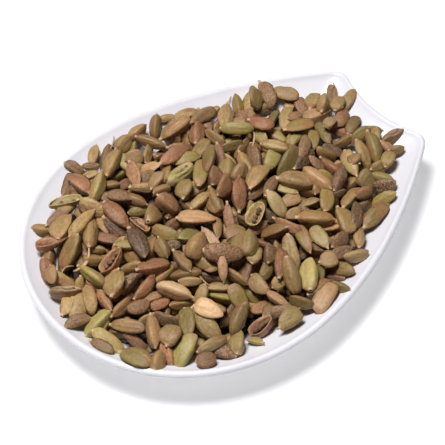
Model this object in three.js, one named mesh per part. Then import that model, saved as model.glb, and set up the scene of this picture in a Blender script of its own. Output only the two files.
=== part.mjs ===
// A leaf-shaped white porcelain dish, heaped with dried cardamom pods.
// Millimetres, +Z up. The origin lies on the surface that the dish stands on, under the middle
// of the dish, and +X runs along the dish to its notched end.
import * as THREE from 'three';

// Outline of the rim, seen from above.
const DISH_HALF_WIDTH = 76.2;
const WIDEST_X = -17.1;
const ROUND_END_LENGTH = 82.75;
const ROUND_END_POWER = 2.09;
const TAPER_LENGTH = 153.1;
const TAPER_POWER = 1.79;
const NOTCH_END_X = 101.3;
const NOTCH_DEPTH = 6.5;
const CORNER_SETBACK = 5.1;

// Number of steps along one half of the outline.
const NOTCH_STEPS = 5;
const CORNER_STEPS = 5;
const FLANK_STEPS = 15;
const ROUND_END_STEPS = 18;

// Section of the dish.
const RIM_HEIGHT = 23;
const FLOOR_HEIGHT = 5;
const WALL_THICKNESS = 3;
const WALL_CURVE_POWER = 1.5;
const LIP_WIDTH = 3.6;
const LIP_CREST = 1.7;
const LIP_DROP = 1.1;
const LIP_THICKNESS = 3.4;

// Foot ring, as heights and as scales of the floor's oval.
const FOOT_HEIGHT = 1.6;
const FOOT_ROOT_HEIGHT = 2.5;
const FOOT_ROOT_SCALE = 1.1;
const FOOT_OUTER_SCALE = 1.08;
const FOOT_INNER_SCALE = 1;
const RECESS_SCALE = 0.98;

// Flat oval of the floor.
const FLOOR_X = -9;
const FLOOR_HALF_LENGTH = 56;
const FLOOR_HALF_WIDTH = 38;

// Heap of pods.
const HEAP_CLEARANCE = 0.45;
const HEAP_INSET = 10.5;
const HEAP_LEAN = 2.5;
const EAR_SETBACK = 7;
const EAR_REACH = 12;
const HEAP_EDGE_WANDER = 1.6;
const HEAP_EDGE_THICKNESS = 4.2;
const HEAP_CROWN = 8.5;
const HEAP_CROWN_X = -4;
const HEAP_TOP_RINGS = 21;
const POD_LENGTH = 14;
const POD_WIDTH = 8.4;
const POD_RELIEF = 3.4;
const POD_SPACING = 9.5;
const POD_JITTER = 4;
const POD_FIELD_HALF_LENGTH = 95;
const POD_FIELD_HALF_WIDTH = 72;

/** A point of the flank that runs from the widest place to the notched end. */
function flankPoint(x) {
  const run = (x - WIDEST_X) / TAPER_LENGTH;
  return new THREE.Vector2(x, DISH_HALF_WIDTH * (1 - run ** TAPER_POWER));
}

/** A point of the shallow arc that hollows the notched end. */
function notchPoint(y, halfWidth) {
  return new THREE.Vector2(NOTCH_END_X - NOTCH_DEPTH * (1 - (y / halfWidth) ** 2), y);
}

/** A point of the round end, a slightly squared ellipse; turn runs from 0 to a quarter circle. */
function roundEndPoint(turn) {
  const across = Math.abs(Math.cos(turn)) ** (2 / ROUND_END_POWER);
  const along = Math.sin(turn) ** (2 / ROUND_END_POWER);
  return new THREE.Vector2(WIDEST_X - ROUND_END_LENGTH * along, DISH_HALF_WIDTH * across);
}

/** The whole outline, anticlockwise from the middle of the notch. */
function rimOutline() {
  const corner = flankPoint(NOTCH_END_X);
  const cornerStart = notchPoint(corner.y - CORNER_SETBACK, corner.y);
  const cornerEnd = flankPoint(NOTCH_END_X - CORNER_SETBACK);
  const rounding = new THREE.QuadraticBezierCurve(cornerStart, corner, cornerEnd);
  const half = [];
  for (let step = 0; step < NOTCH_STEPS; step += 1) {
    half.push(notchPoint((cornerStart.y * step) / NOTCH_STEPS, corner.y));
  }
  for (let step = 0; step < CORNER_STEPS; step += 1) {
    half.push(rounding.getPoint(step / CORNER_STEPS));
  }
  for (let step = 0; step < FLANK_STEPS; step += 1) {
    half.push(flankPoint(cornerEnd.x + ((WIDEST_X - cornerEnd.x) * step) / FLANK_STEPS));
  }
  for (let step = 0; step <= ROUND_END_STEPS; step += 1) {
    half.push(roundEndPoint((Math.PI / 2) * (step / ROUND_END_STEPS)));
  }
  const otherHalf = half.slice(1, -1).reverse().map((point) => new THREE.Vector2(point.x, -point.y));
  return [...half, ...otherHalf];
}

/** The point of the floor's oval on the same ray from its middle as a point of the rim. */
function floorPoint(rimPoint) {
  const ray = new THREE.Vector2(rimPoint.x - FLOOR_X, rimPoint.y);
  const reach = 1 / Math.hypot(ray.x / FLOOR_HALF_LENGTH, ray.y / FLOOR_HALF_WIDTH);
  return new THREE.Vector2(FLOOR_X + ray.x * reach, ray.y * reach);
}

const outline = rimOutline();
const spokes = outline.map((rim) => {
  const floor = floorPoint(rim);
  return { rim, floor, lipShare: LIP_WIDTH / rim.distanceTo(floor) };
});

/** Place on a spoke at a distance in from the rim's outer edge. */
function besideRim(spoke, inset) {
  return spoke.rim.clone().lerp(spoke.floor, inset / spoke.rim.distanceTo(spoke.floor));
}

/** Place on a spoke at u, 0 at the inner edge of the lip and 1 at the floor's oval. */
function onWall(spoke, u) {
  return spoke.rim.clone().lerp(spoke.floor, spoke.lipShare + (1 - spoke.lipShare) * u);
}

/** Place on a spoke within the floor's oval, 1 on the oval and 0 in its middle. */
function onFloor(spoke, scale) {
  return new THREE.Vector2(FLOOR_X + (spoke.floor.x - FLOOR_X) * scale, spoke.floor.y * scale);
}

/** Height of the dish's inner face at u on the wall. */
function wallHeight(u) {
  const lipHeight = RIM_HEIGHT - LIP_DROP;
  return FLOOR_HEIGHT + (lipHeight - FLOOR_HEIGHT) * (1 - u) ** WALL_CURVE_POWER;
}

/** Height of the dish's outer face at u on the wall, a wall's thickness under the inner face. */
function undersideHeight(u, spoke) {
  const span = spoke.rim.distanceTo(spoke.floor) * (1 - spoke.lipShare);
  const fall = (RIM_HEIGHT - LIP_DROP - FLOOR_HEIGHT) * WALL_CURVE_POWER;
  const slope = (fall * Math.sqrt(1 - u)) / span;
  return wallHeight(u) - WALL_THICKNESS * Math.hypot(1, slope);
}

/** A closed body from rings of equal length that run from a lower pole point to an upper one. */
function bodyFromRings(lowerPole, rings, upperPole) {
  const count = rings[0].length;
  const positions = [lowerPole, ...rings.flat(), upperPole].flatMap((point) => point.toArray());
  const last = positions.length / 3 - 1;
  const faces = [];
  for (let spoke = 0; spoke < count; spoke += 1) {
    const next = (spoke + 1) % count;
    faces.push(0, 1 + next, 1 + spoke);
    for (let ring = 0; ring + 1 < rings.length; ring += 1) {
      const low = 1 + ring * count;
      const high = low + count;
      faces.push(low + spoke, low + next, high + next);
      faces.push(low + spoke, high + next, high + spoke);
    }
    const top = last - count;
    faces.push(top + spoke, top + next, last);
  }
  const geometry = new THREE.BufferGeometry();
  geometry.setAttribute('position', new THREE.Float32BufferAttribute(positions, 3));
  geometry.setIndex(faces);
  geometry.computeVertexNormals();
  return geometry;
}

/** One ring of the dish: a place in plan and a height for every spoke. */
function ringOf(placeOnSpoke, heightOnSpoke) {
  return spokes.map((spoke, index) => {
    const place = placeOnSpoke(spoke, index);
    return new THREE.Vector3(place.x, place.y, heightOnSpoke(spoke, index));
  });
}

const INNER_WALL_STATIONS = [0, 0.1, 0.2, 0.3, 0.42, 0.54, 0.66, 0.8, 1];
const OUTER_WALL_STATIONS = [0.06, 0.2, 0.36, 0.54, 0.72];
const LIP_STATIONS = [
  { inset: 0.5, below: 0.85 },
  { inset: 0, below: 0.5 },
  { inset: 0.35, below: 0.18 },
  { inset: LIP_CREST, below: 0 },
];

/** The dish: foot ring, outer wall, rolled lip, inner wall and floor. */
function dishGeometry() {
  const rings = [];
  rings.push(ringOf((spoke) => onFloor(spoke, RECESS_SCALE), () => FOOT_HEIGHT));
  rings.push(ringOf((spoke) => onFloor(spoke, FOOT_INNER_SCALE), () => 0));
  rings.push(ringOf((spoke) => onFloor(spoke, FOOT_OUTER_SCALE), () => 0));
  rings.push(ringOf((spoke) => onFloor(spoke, FOOT_ROOT_SCALE), () => FOOT_ROOT_HEIGHT));
  for (const u of [...OUTER_WALL_STATIONS].reverse()) {
    rings.push(ringOf((spoke) => onWall(spoke, u), (spoke) => undersideHeight(u, spoke)));
  }
  for (const { inset, below } of LIP_STATIONS) {
    rings.push(ringOf((spoke) => besideRim(spoke, inset), () => RIM_HEIGHT - LIP_THICKNESS * below));
  }
  for (const u of INNER_WALL_STATIONS) {
    rings.push(ringOf((spoke) => onWall(spoke, u), () => wallHeight(u)));
  }
  const middleBelow = new THREE.Vector3(FLOOR_X, 0, FOOT_HEIGHT);
  const middleAbove = new THREE.Vector3(FLOOR_X, 0, FLOOR_HEIGHT);
  return bodyFromRings(middleBelow, rings, middleAbove);
}

/** Height of the dish's faceted inner face at u, along straight lines between its stations. */
function facetedWallHeight(u) {
  const above = INNER_WALL_STATIONS.findLastIndex((station) => station <= u);
  if (above === INNER_WALL_STATIONS.length - 1) {
    return FLOOR_HEIGHT;
  }
  const from = INNER_WALL_STATIONS[above];
  const to = INNER_WALL_STATIONS[above + 1];
  return THREE.MathUtils.mapLinear(u, from, to, wallHeight(from), wallHeight(to));
}

/** Repeatable scatter value from 0 to 1 for a whole number and a channel. */
function scatter(index, channel) {
  const wave = Math.sin(index * 12.9898 + channel * 78.233) * 43758.5453;
  return wave - Math.floor(wave);
}

/** The pods whose backs make the heap's relief, scattered around a staggered grid. */
function podField() {
  const pods = [];
  const rowGap = POD_SPACING * Math.sin(Math.PI / 3);
  let index = 0;
  for (let y = -POD_FIELD_HALF_WIDTH; y <= POD_FIELD_HALF_WIDTH; y += rowGap) {
    for (let x = -POD_FIELD_HALF_LENGTH; x <= POD_FIELD_HALF_LENGTH; x += POD_SPACING) {
      index += 1;
      pods.push({
        x: x + POD_JITTER * (scatter(index, 5) - 0.5) + POD_SPACING * scatter(Math.round(y), 6),
        y: y + POD_JITTER * (scatter(index, 7) - 0.5),
        heading: Math.PI * scatter(index, 1),
        halfLength: (POD_LENGTH / 2) * (0.8 + 0.4 * scatter(index, 2)),
        rise: POD_RELIEF * (0.45 + 0.9 * scatter(index, 3)),
      });
    }
  }
  return pods;
}

const pods = podField();

/** Relief of the heap's top at a place in plan: the highest pod's back there. */
function podRelief(x, y) {
  let relief = 0;
  for (const pod of pods) {
    const along = (x - pod.x) * Math.cos(pod.heading) + (y - pod.y) * Math.sin(pod.heading);
    const across = (y - pod.y) * Math.cos(pod.heading) - (x - pod.x) * Math.sin(pod.heading);
    const from = (along / pod.halfLength) ** 2 + (across / (POD_WIDTH / 2)) ** 2;
    if (from < 1) {
      relief = Math.max(relief, pod.rise * Math.sqrt(1 - from));
    }
  }
  return relief;
}

/** The u at which the heap's uneven edge touches the wall on a spoke. */
function heapEdge(spoke, index) {
  const corner = flankPoint(NOTCH_END_X);
  const fromCorner = Math.hypot(spoke.rim.x - corner.x, Math.abs(spoke.rim.y) - corner.y);
  const setback = EAR_SETBACK * Math.exp(-((fromCorner / EAR_REACH) ** 2));
  const lean = (HEAP_LEAN * -spoke.rim.y) / DISH_HALF_WIDTH;
  const wander = 0.7 * Math.sin(index * 0.9) + 0.6 * (scatter(index, 4) - 0.5);
  const inset = HEAP_INSET + setback + lean + HEAP_EDGE_WANDER * wander;
  const span = spoke.rim.distanceTo(spoke.floor);
  return (inset - LIP_WIDTH) / (span - LIP_WIDTH);
}

/** The heap: an underside that follows the dish and a domed, bumpy top. */
function heapGeometry() {
  const crown = new THREE.Vector2(HEAP_CROWN_X, 0);
  const edges = spokes.map(heapEdge);
  const edgeHeight = (index) => facetedWallHeight(edges[index]) + HEAP_CLEARANCE;
  const rings = [];
  for (const u of INNER_WALL_STATIONS.filter((station) => station > 0.4).reverse()) {
    rings.push(ringOf((spoke) => onWall(spoke, u), () => wallHeight(u) + HEAP_CLEARANCE));
  }
  rings.push(ringOf((spoke, index) => onWall(spoke, edges[index]), (_, index) => edgeHeight(index)));
  for (let step = 0; step < HEAP_TOP_RINGS; step += 1) {
    const inward = step / HEAP_TOP_RINGS;
    const share = 1 - inward ** 1.08;
    const place = (spoke, index) => crown.clone().lerp(onWall(spoke, edges[index]), share);
    const height = (spoke, index) => {
      const at = place(spoke, index);
      const shoulder = edgeHeight(index) + HEAP_EDGE_THICKNESS;
      const crownHeight = RIM_HEIGHT + HEAP_CROWN - POD_RELIEF;
      const dome = shoulder + (crownHeight - shoulder) * (1 - share ** 2.2);
      return dome + podRelief(at.x, at.y);
    };
    rings.push(ringOf(place, height));
  }
  const middleBelow = new THREE.Vector3(FLOOR_X, 0, FLOOR_HEIGHT + HEAP_CLEARANCE);
  const middleRelief = podRelief(crown.x, crown.y);
  const middleAbove = new THREE.Vector3(crown.x, 0, RIM_HEIGHT + HEAP_CROWN - POD_RELIEF + middleRelief);
  return bodyFromRings(middleBelow, rings, middleAbove);
}

const glazedPorcelain = new THREE.MeshStandardMaterial({ color: 0xeeedf1, roughness: 0.22, metalness: 0 });
const driedPods = new THREE.MeshStandardMaterial({ color: 0x9b875a, roughness: 0.72, metalness: 0 });

const dish = new THREE.Mesh(dishGeometry(), glazedPorcelain);
dish.name = 'dish';

const heap = new THREE.Mesh(heapGeometry(), driedPods);
heap.name = 'cardamom_heap';

const dishOfPods = new THREE.Group();
dishOfPods.add(dish, heap);

export default dishOfPods;
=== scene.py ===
"""A glazed leaf-shaped dish heaped with dried cardamom pods, on a pale studio floor."""

import logging
import math
from collections.abc import Callable, Iterable, Sequence
from dataclasses import dataclass, field
from enum import Enum

import bmesh
import bpy
import numpy as np
from mathutils import Matrix, Vector, noise
from mathutils.bvhtree import BVHTree


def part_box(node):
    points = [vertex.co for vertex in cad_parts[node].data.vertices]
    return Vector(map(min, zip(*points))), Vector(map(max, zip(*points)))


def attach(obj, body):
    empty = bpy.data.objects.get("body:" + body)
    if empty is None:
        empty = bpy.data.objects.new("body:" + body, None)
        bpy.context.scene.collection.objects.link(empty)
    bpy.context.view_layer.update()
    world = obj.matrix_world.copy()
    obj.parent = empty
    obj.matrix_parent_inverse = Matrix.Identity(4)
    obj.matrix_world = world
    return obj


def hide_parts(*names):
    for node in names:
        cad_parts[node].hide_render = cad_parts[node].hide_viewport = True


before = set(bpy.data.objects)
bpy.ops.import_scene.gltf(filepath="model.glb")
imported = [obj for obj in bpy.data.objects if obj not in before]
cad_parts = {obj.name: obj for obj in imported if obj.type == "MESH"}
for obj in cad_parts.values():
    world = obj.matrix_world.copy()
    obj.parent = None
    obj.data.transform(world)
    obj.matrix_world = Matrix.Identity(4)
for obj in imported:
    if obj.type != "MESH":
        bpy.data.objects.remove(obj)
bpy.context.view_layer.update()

BODY = "root"
MM = 0.001

log = logging.getLogger("cardamom_dish")


# --------------------------------------------------------------------------- shader expressions


def tone(red: float, green: float, blue: float) -> tuple[float, float, float, float]:
    """Turn a colour as it looks on screen into scene-linear values.

    Args:
        red: its red, from 0 to 255.
        green: its green.
        blue: its blue.

    Returns:
        Red, green, blue and full opacity.
    """
    parts = [part / 255 for part in (red, green, blue)]
    linear = [part / 12.92 if part < 0.04045 else ((part + 0.055) / 1.055) ** 2.4 for part in parts]
    return (*linear, 1.0)


class Wire:
    """An output socket that can be used in arithmetic."""

    def __init__(self, board: "Board", socket: bpy.types.NodeSocket) -> None:
        """Keep the socket and the board whose nodes the arithmetic is added to."""
        self.board = board
        self.socket = socket

    def _math(self, operation: str, first: object, second: object) -> "Wire":
        """Add one Math node."""
        return self.board.node("ShaderNodeMath", {"operation": operation}, {0: first, 1: second})

    def __add__(self, other: object) -> "Wire":
        """Sum."""
        return self._math("ADD", self, other)

    def __radd__(self, other: object) -> "Wire":
        """Sum, the other way round."""
        return self._math("ADD", other, self)

    def __sub__(self, other: object) -> "Wire":
        """Difference."""
        return self._math("SUBTRACT", self, other)

    def __rsub__(self, other: object) -> "Wire":
        """Difference, the other way round."""
        return self._math("SUBTRACT", other, self)

    def __mul__(self, other: object) -> "Wire":
        """Product."""
        return self._math("MULTIPLY", self, other)

    def __rmul__(self, other: object) -> "Wire":
        """Product, the other way round."""
        return self._math("MULTIPLY", other, self)

    def step(self, low: float, high: float) -> "Wire":
        """A smooth rise from 0 at low to 1 at high."""
        settings = {"interpolation_type": "SMOOTHSTEP"}
        return self.board.node("ShaderNodeMapRange", settings, {0: self, 1: low, 2: high, 3: 0.0, 4: 1.0})


class Board:
    """A material's node tree, with one method that makes any node."""

    def __init__(self, name: str) -> None:
        """Start an empty node tree.

        Args:
            name: the material's name.
        """
        self.material = bpy.data.materials.new(name)
        self.material.use_nodes = True
        self.tree = self.material.node_tree
        self.tree.nodes.clear()

    def node(self, kind: str, settings: dict, inputs: dict, out: str | int = 0) -> Wire:
        """Make a node.

        Args:
            kind: the node's type.
            settings: its settings, which are set first.
            inputs: values or wires for its sockets, by name or number.
            out: the name or number of the output that is given back.

        Returns:
            The output as a wire.
        """
        made = self.tree.nodes.new(kind)
        for name, value in settings.items():
            setattr(made, name, value)
        for name, value in inputs.items():
            if isinstance(value, Wire):
                self.tree.links.new(value.socket, made.inputs[name])
            else:
                made.inputs[name].default_value = value
        return Wire(self, made.outputs[out])

    def mix(self, share: object, first: object, second: object, blend: str = "MIX") -> Wire:
        """Blend two colours."""
        settings = {"data_type": "RGBA", "blend_type": blend, "clamp_factor": True}
        return self.node("ShaderNodeMix", settings, {0: share, 6: first, 7: second}, out=2)

    def stretched(self, vector: Wire, scale: tuple[float, float, float]) -> Wire:
        """A vector with each of its parts scaled."""
        return self.node("ShaderNodeVectorMath", {"operation": "MULTIPLY"}, {0: vector, 1: scale})

    def speckle(self, vector: Wire, scale: float, detail: float = 2.0, roughness: float = 0.5) -> Wire:
        """Soft noise from 0 to 1."""
        inputs = {"Vector": vector, "Scale": scale, "Detail": detail, "Roughness": roughness}
        return self.node("ShaderNodeTexNoise", {}, inputs, out="Fac")

    def attribute(self, name: str, out: str) -> Wire:
        """A value that the mesh carries."""
        return self.node("ShaderNodeAttribute", {"attribute_name": name}, {}, out=out)

    def channels(self, colour: Wire) -> list[Wire]:
        """The red, green and blue of a colour."""
        split = self.node("ShaderNodeSeparateColor", {}, {"Color": colour})
        return [Wire(self, output) for output in split.socket.node.outputs]

    def place(self) -> Wire:
        """Places on the piece, in metres."""
        return self.node("ShaderNodeTexCoord", {}, {}, out="Object")

    def finish(self, colour: object, roughness: object, height: Wire | None,
               **fixed: object) -> bpy.types.Material:
        """Close the tree with a surface shader.

        Args:
            colour: the base colour.
            roughness: the roughness.
            height: relief in metres, or None for a smooth surface.
            fixed: values for the shader's other sockets, by name with _ for a space.

        Returns:
            The finished material.
        """
        inputs = {"Base Color": colour, "Roughness": roughness}
        inputs.update({name.replace("_", " "): value for name, value in fixed.items()})
        if height is not None:
            relief = {"Strength": 1.0, "Distance": 1.0, "Height": height}
            inputs["Normal"] = self.node("ShaderNodeBump", {}, relief)
        surface = self.node("ShaderNodeBsdfPrincipled", {}, inputs)
        output = self.tree.nodes.new("ShaderNodeOutputMaterial")
        self.tree.links.new(surface.socket, output.inputs["Surface"])
        return self.material


# --------------------------------------------------------------------------- finishes


@dataclass(frozen=True)
class GlazeFinish:
    """White glaze with the faintest cool tint, pooled a little unevenly."""

    name: str = "white_glaze"
    colour: tuple = tone(231, 230, 235)
    pooled: tuple = tone(224, 222, 229)
    pool_scale: float = 22.0
    peel_scale: float = 420.0
    relief: float = 0.00002

    def material(self) -> bpy.types.Material:
        """Make the glaze.

        Returns:
            The material.
        """
        board = Board(self.name)
        cloud = board.speckle(board.place(), self.pool_scale, 3.0)
        orange_peel = board.speckle(board.place(), self.peel_scale, 1.0)
        colour = board.mix(cloud.step(0.35, 0.7), self.colour, self.pooled)
        roughness = 0.2 + cloud * 0.1
        return board.finish(colour, roughness, orange_peel * self.relief, Specular_IOR_Level=0.5)


@dataclass(frozen=True)
class BisqueFinish:
    """The bare, slightly rough fired clay under the foot ring."""

    name: str = "bare_foot"
    colour: tuple = tone(226, 222, 214)
    stained: tuple = tone(198, 190, 178)
    grain_scale: float = 900.0
    stain_scale: float = 60.0
    relief: float = 0.00008

    def material(self) -> bpy.types.Material:
        """Make the bare clay.

        Returns:
            The material.
        """
        board = Board(self.name)
        grain = board.speckle(board.place(), self.grain_scale, 3.0)
        wear = board.speckle(board.place(), self.stain_scale, 3.0).step(0.5, 0.75)
        return board.finish(board.mix(wear, self.colour, self.stained), 0.8, grain * self.relief)


@dataclass(frozen=True)
class HuskFinish:
    """Dried pod husk: streaked lengthwise, blotched, with pale stalk scars and dark scabs.

    It reads what each pod carries: its own place on the husk in millimetres, two tones, how much
    it is scabbed, streaked and blotched, where its stalk and seams are, and how dark its holes and
    slits are, partly the husk's brown inside and partly painted shade. The scales are in waves per
    millimetre, along the pod and twice across it where they are three.
    """

    name: str = "husk"
    scar: tuple = tone(216, 184, 146)
    seam: tuple = tone(112, 78, 52)
    # The husk's brown inside, which deep in stalk holes, slits and shells is painted shade as well.
    hollow_tone_and_shade: tuple = tone(70, 46, 31)
    scab: tuple = tone(82, 54, 42)
    crust: tuple = tone(206, 178, 140)
    streak_scale: tuple = (0.1, 1.1, 1.1)
    cloud_scale: tuple = (0.13, 0.22, 0.22)
    mottle_scale: float = 0.8
    grain_scale: float = 3.0
    wart_scale: float = 1.15
    freckle_scale: float = 2.3
    relief: float = 0.00025

    def material(self) -> bpy.types.Material:
        """Make the husk.

        Returns:
            The material.
        """
        board = Board(self.name)
        place = board.attribute("pod_place", "Vector")
        scabbed, streaked, blotched = board.channels(board.attribute("husk_traits", "Color"))
        pale, seam, hollow_tone_and_shade = board.channels(board.attribute("form_marks", "Color"))
        ends = board.attribute("form_marks", "Alpha")

        streaks = board.speckle(board.stretched(place, self.streak_scale), 1.0, 3.0, 0.6)
        cloud = board.speckle(board.stretched(place, self.cloud_scale), 1.0, 3.0, 0.5)
        mottle = board.speckle(place, self.mottle_scale, 3.0, 0.6)
        grain = board.speckle(place, self.grain_scale, 2.0, 0.6)
        warts = board.speckle(place, self.wart_scale, 1.0, 0.5)
        freckles = board.speckle(place, self.freckle_scale, 1.0, 0.5).step(0.7, 0.76)
        dots = warts.step(0.57, 0.62)
        rims = warts.step(0.44, 0.52) * (1.0 - dots)

        blotches = (cloud + blotched * 0.3 - 0.2 + ends * 0.16).step(0.36, 0.62)
        ground = board.attribute("husk_tone", "Color")
        colour = board.mix(blotches, ground, board.attribute("husk_blush", "Color"))
        shade = 0.98 + (streaks - 0.5) * streaked * 1.2
        shade = shade + (mottle - 0.5) * (0.6 + streaked * 0.7) + (grain - 0.5) * 0.2
        grey = board.node("ShaderNodeCombineColor", {}, {0: shade, 1: shade, 2: shade})
        colour = board.mix(1.0, colour, grey, "MULTIPLY")
        furrows = (0.4 - streaks).step(0.0, 0.1) * streaked
        colour = board.mix(seam * 0.4 + furrows * 0.2, colour, self.seam)
        colour = board.mix(dots * scabbed * 0.85, colour, self.scab)
        colour = board.mix(rims * scabbed * 0.65, colour, self.crust)
        colour = board.mix(freckles * 0.4, colour, self.scab)
        colour = board.mix(pale * 0.85, colour, self.scar)
        # Painted shade over the husk's brown inside: stalk holes, open slits and shell linings go dark.
        colour = board.mix(hollow_tone_and_shade, colour, self.hollow_tone_and_shade)

        height = streaks * streaked * 1.3 + mottle * 1.4 + grain * 0.15 + dots * scabbed * 2.5
        roughness = 0.42 + mottle * 0.15 + scabbed * 0.2
        return board.finish(colour, roughness, height * self.relief, Specular_IOR_Level=0.5)


@dataclass(frozen=True)
class GapShadeFinish:
    """Painted shade deep between the pods: a dark brown on the core that stands in for the shadow in the
    gaps.
    """

    name: str = "painted_gap_shade"
    dark: tuple = tone(30, 20, 12)
    light: tuple = tone(62, 44, 28)
    grain_scale: float = 380.0
    relief: float = 0.0008

    def material(self) -> bpy.types.Material:
        """Make the painted gap shade.

        Returns:
            The material.
        """
        board = Board(self.name)
        grain = board.speckle(board.place(), self.grain_scale, 4.0, 0.65)
        # Dark and lighter brown mixed by grain: painted shade for the gaps between pods.
        colour = board.mix(grain.step(0.3, 0.7), self.dark, self.light)
        return board.finish(colour, 0.95, grain * self.relief)


@dataclass(frozen=True)
class FloorFinish:
    """A plain pale studio floor."""

    name: str = "studio_floor"
    colour: tuple = (0.62, 0.62, 0.63, 1.0)
    glow: float = 0.4

    def material(self) -> bpy.types.Material:
        """Make the floor's paint."""
        return Board(self.name).finish(self.colour, 0.9, None, Specular_IOR_Level=0.1,
                                       Emission_Color=(1.0, 1.0, 1.0, 1.0), Emission_Strength=self.glow)


# --------------------------------------------------------------------------- viewpoint


@dataclass(frozen=True)
class Viewpoint:
    """Where the camera stands, in millimetres, degrees and pixels of a square picture."""

    picture_side: float = 445.0
    azimuth: float = -41.84
    elevation: float = 50.67
    focal_pixels: float = 2400.0
    pixels_per_mm: float = 2.2025
    look_at: tuple = (-5.65, -3.65, 23.0)
    sensor_mm: float = 36.0

    def axes(self) -> tuple[np.ndarray, np.ndarray, np.ndarray]:
        """Work out which way the camera looks.

        Returns:
            Its right, up and back directions.
        """
        turn, tilt = math.radians(self.azimuth), math.radians(self.elevation)
        back = np.array([math.sin(turn) * math.cos(tilt), -math.cos(turn) * math.cos(tilt), math.sin(tilt)])
        right = np.array([math.cos(turn), math.sin(turn), 0.0])
        return right, np.cross(back, right), back

    def eye(self) -> np.ndarray:
        """The camera's place."""
        distance = self.focal_pixels / self.pixels_per_mm
        return np.array(self.look_at) + self.axes()[2] * distance

    def project(self, points: np.ndarray) -> np.ndarray:
        """Pixels of points.

        Args:
            points: places in millimetres, one in a row.

        Returns:
            Across, down and pixels per millimetre for each point.
        """
        right, up, back = self.axes()
        offset = points - self.eye()
        depth = -(offset @ back)
        scale = self.focal_pixels / depth
        middle = self.picture_side / 2
        return np.stack([middle + offset @ right * scale, middle - offset @ up * scale, scale], axis=-1)

    def at_height(self, across: float, down: float, height: float) -> np.ndarray:
        """Find the place at a height that a pixel shows.

        Args:
            across: the pixel's place across the picture.
            down: the pixel's place down the picture.
            height: the height.

        Returns:
            The place in millimetres.
        """
        right, up, back = self.axes()
        middle = self.picture_side / 2
        ray = -back + right * (across - middle) / self.focal_pixels
        ray = ray - up * (down - middle) / self.focal_pixels
        eye = self.eye()
        return eye + ray * (height - eye[2]) / ray[2]

    def seen(self, ways: np.ndarray) -> np.ndarray:
        """Directions as they look in the picture: how far to the right and how far up."""
        right, up, _ = self.axes()
        return np.stack([ways @ right, ways @ up], axis=-1)

    def plan_heading(self, heading: float) -> tuple[float, float]:
        """Turn a heading in the picture into one in plan.

        Args:
            heading: degrees anticlockwise from the picture's right.

        Returns:
            The heading in plan in radians, and the true length of one unit seen in the picture.
        """
        right, up, _ = self.axes()
        ahead = np.array([up[0], up[1], 0.0]) / math.hypot(up[0], up[1])
        turn = math.radians(heading)
        rise = math.sin(turn) / math.sin(math.radians(self.elevation))
        way = right * math.cos(turn) + ahead * rise
        return math.atan2(way[1], way[0]), math.hypot(math.cos(turn), rise)


# --------------------------------------------------------------------------- pieces


def add_piece(name: str, mesh: bpy.types.Mesh, materials: Iterable[bpy.types.Material]) -> bpy.types.Object:
    """Put a finished mesh in the scene as a piece that rides on the body.

    Args:
        name: the piece's name.
        mesh: its mesh, in metres, in place.
        materials: its materials in slot order.

    Returns:
        The piece.
    """
    piece = bpy.data.objects.new(name, mesh)
    for material in materials:
        mesh.materials.append(material)
    bpy.context.scene.collection.objects.link(piece)
    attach(piece, BODY)
    triangles = sum(len(face.vertices) - 2 for face in mesh.polygons)
    log.info("%s: %d triangles", name, triangles)
    return piece


def mesh_from(made: bmesh.types.BMesh, name: str, smooth: bool = True) -> bpy.types.Mesh:
    """Turn a finished bmesh into a mesh and free it.

    Args:
        made: the bmesh.
        name: the mesh's name.
        smooth: whether its faces are shaded smooth.

    Returns:
        The mesh.
    """
    for face in made.faces:
        face.smooth = smooth
    mesh = bpy.data.meshes.new(name)
    made.to_mesh(mesh)
    made.free()
    return mesh


def sweep(made: bmesh.types.BMesh, index_of: object, sides: int, rings: int,
          put: Callable[[bmesh.types.BMVert, int], None]) -> None:
    """Sweep a section ring by ring and close both ends in a point.

    Args:
        made: an empty bmesh.
        index_of: the layer that numbers the vertices of each ring.
        sides: how many vertices a ring has.
        rings: how many rings there are.
        put: puts a vertex of a numbered ring in its place.
    """
    verts = bmesh.ops.create_circle(made, segments=sides, radius=1.0)["verts"]
    for index, vert in enumerate(sorted(verts, key=lambda v: math.atan2(v.co.y, v.co.x) % math.tau)):
        vert[index_of] = index
    edges = list(made.edges)
    ends = []
    for number in range(rings):
        if number:
            extruded = bmesh.ops.extrude_edge_only(made, edges=edges)["geom"]
            verts = [item for item in extruded if isinstance(item, bmesh.types.BMVert)]
            edges = [item for item in extruded if isinstance(item, bmesh.types.BMEdge)]
        for vert in verts:
            put(vert, number)
        if number in (0, rings - 1):
            ends.append(verts)
    for end in ends:
        middle = sum((vert.co for vert in end), Vector()) / len(end)
        bmesh.ops.pointmerge(made, verts=end, merge_co=middle)


# --------------------------------------------------------------------------- dish


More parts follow.
